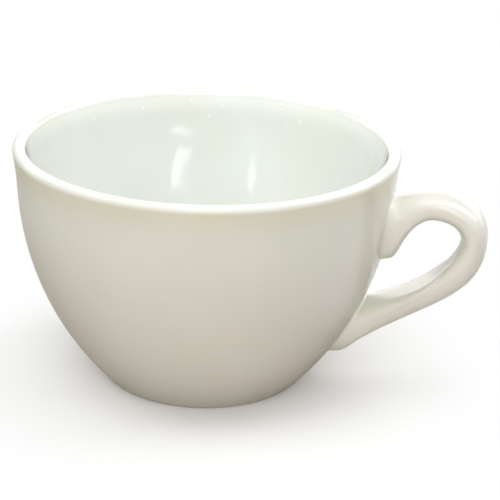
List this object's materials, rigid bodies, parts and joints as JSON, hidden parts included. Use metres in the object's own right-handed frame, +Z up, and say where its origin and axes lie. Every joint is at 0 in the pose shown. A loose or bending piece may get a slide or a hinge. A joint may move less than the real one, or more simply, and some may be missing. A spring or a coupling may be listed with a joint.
{
  "type": "latte cup",
  "caption": "White glazed porcelain coffee cup: a tapered bowl on a low standing ring, with an ear-shaped handle joined to its wall for lifting and drinking.",
  "frame": {"origin": "centre of the standing ring, on the plane that the cup stands on", "axes": "+Z up along the bowl's axis, +X from the axis towards the handle"},
  "size_m": [0.1358, 0.11, 0.07],
  "materials": {
    "bowl_glaze": "clear gloss glaze over warm white porcelain, bare on the standing ring",
    "handle_glaze": "clear gloss glaze over warm white porcelain",
    "joint_glaze": "clear gloss glaze, slightly thicker in the corner of the joint"
  },
  "bodies": {
    "root": {"cup_body": "bowl_glaze", "handle": "handle_glaze", "upper_slip_joint": "joint_glaze", "lower_slip_joint": "joint_glaze"}
  },
  "joints": []
}
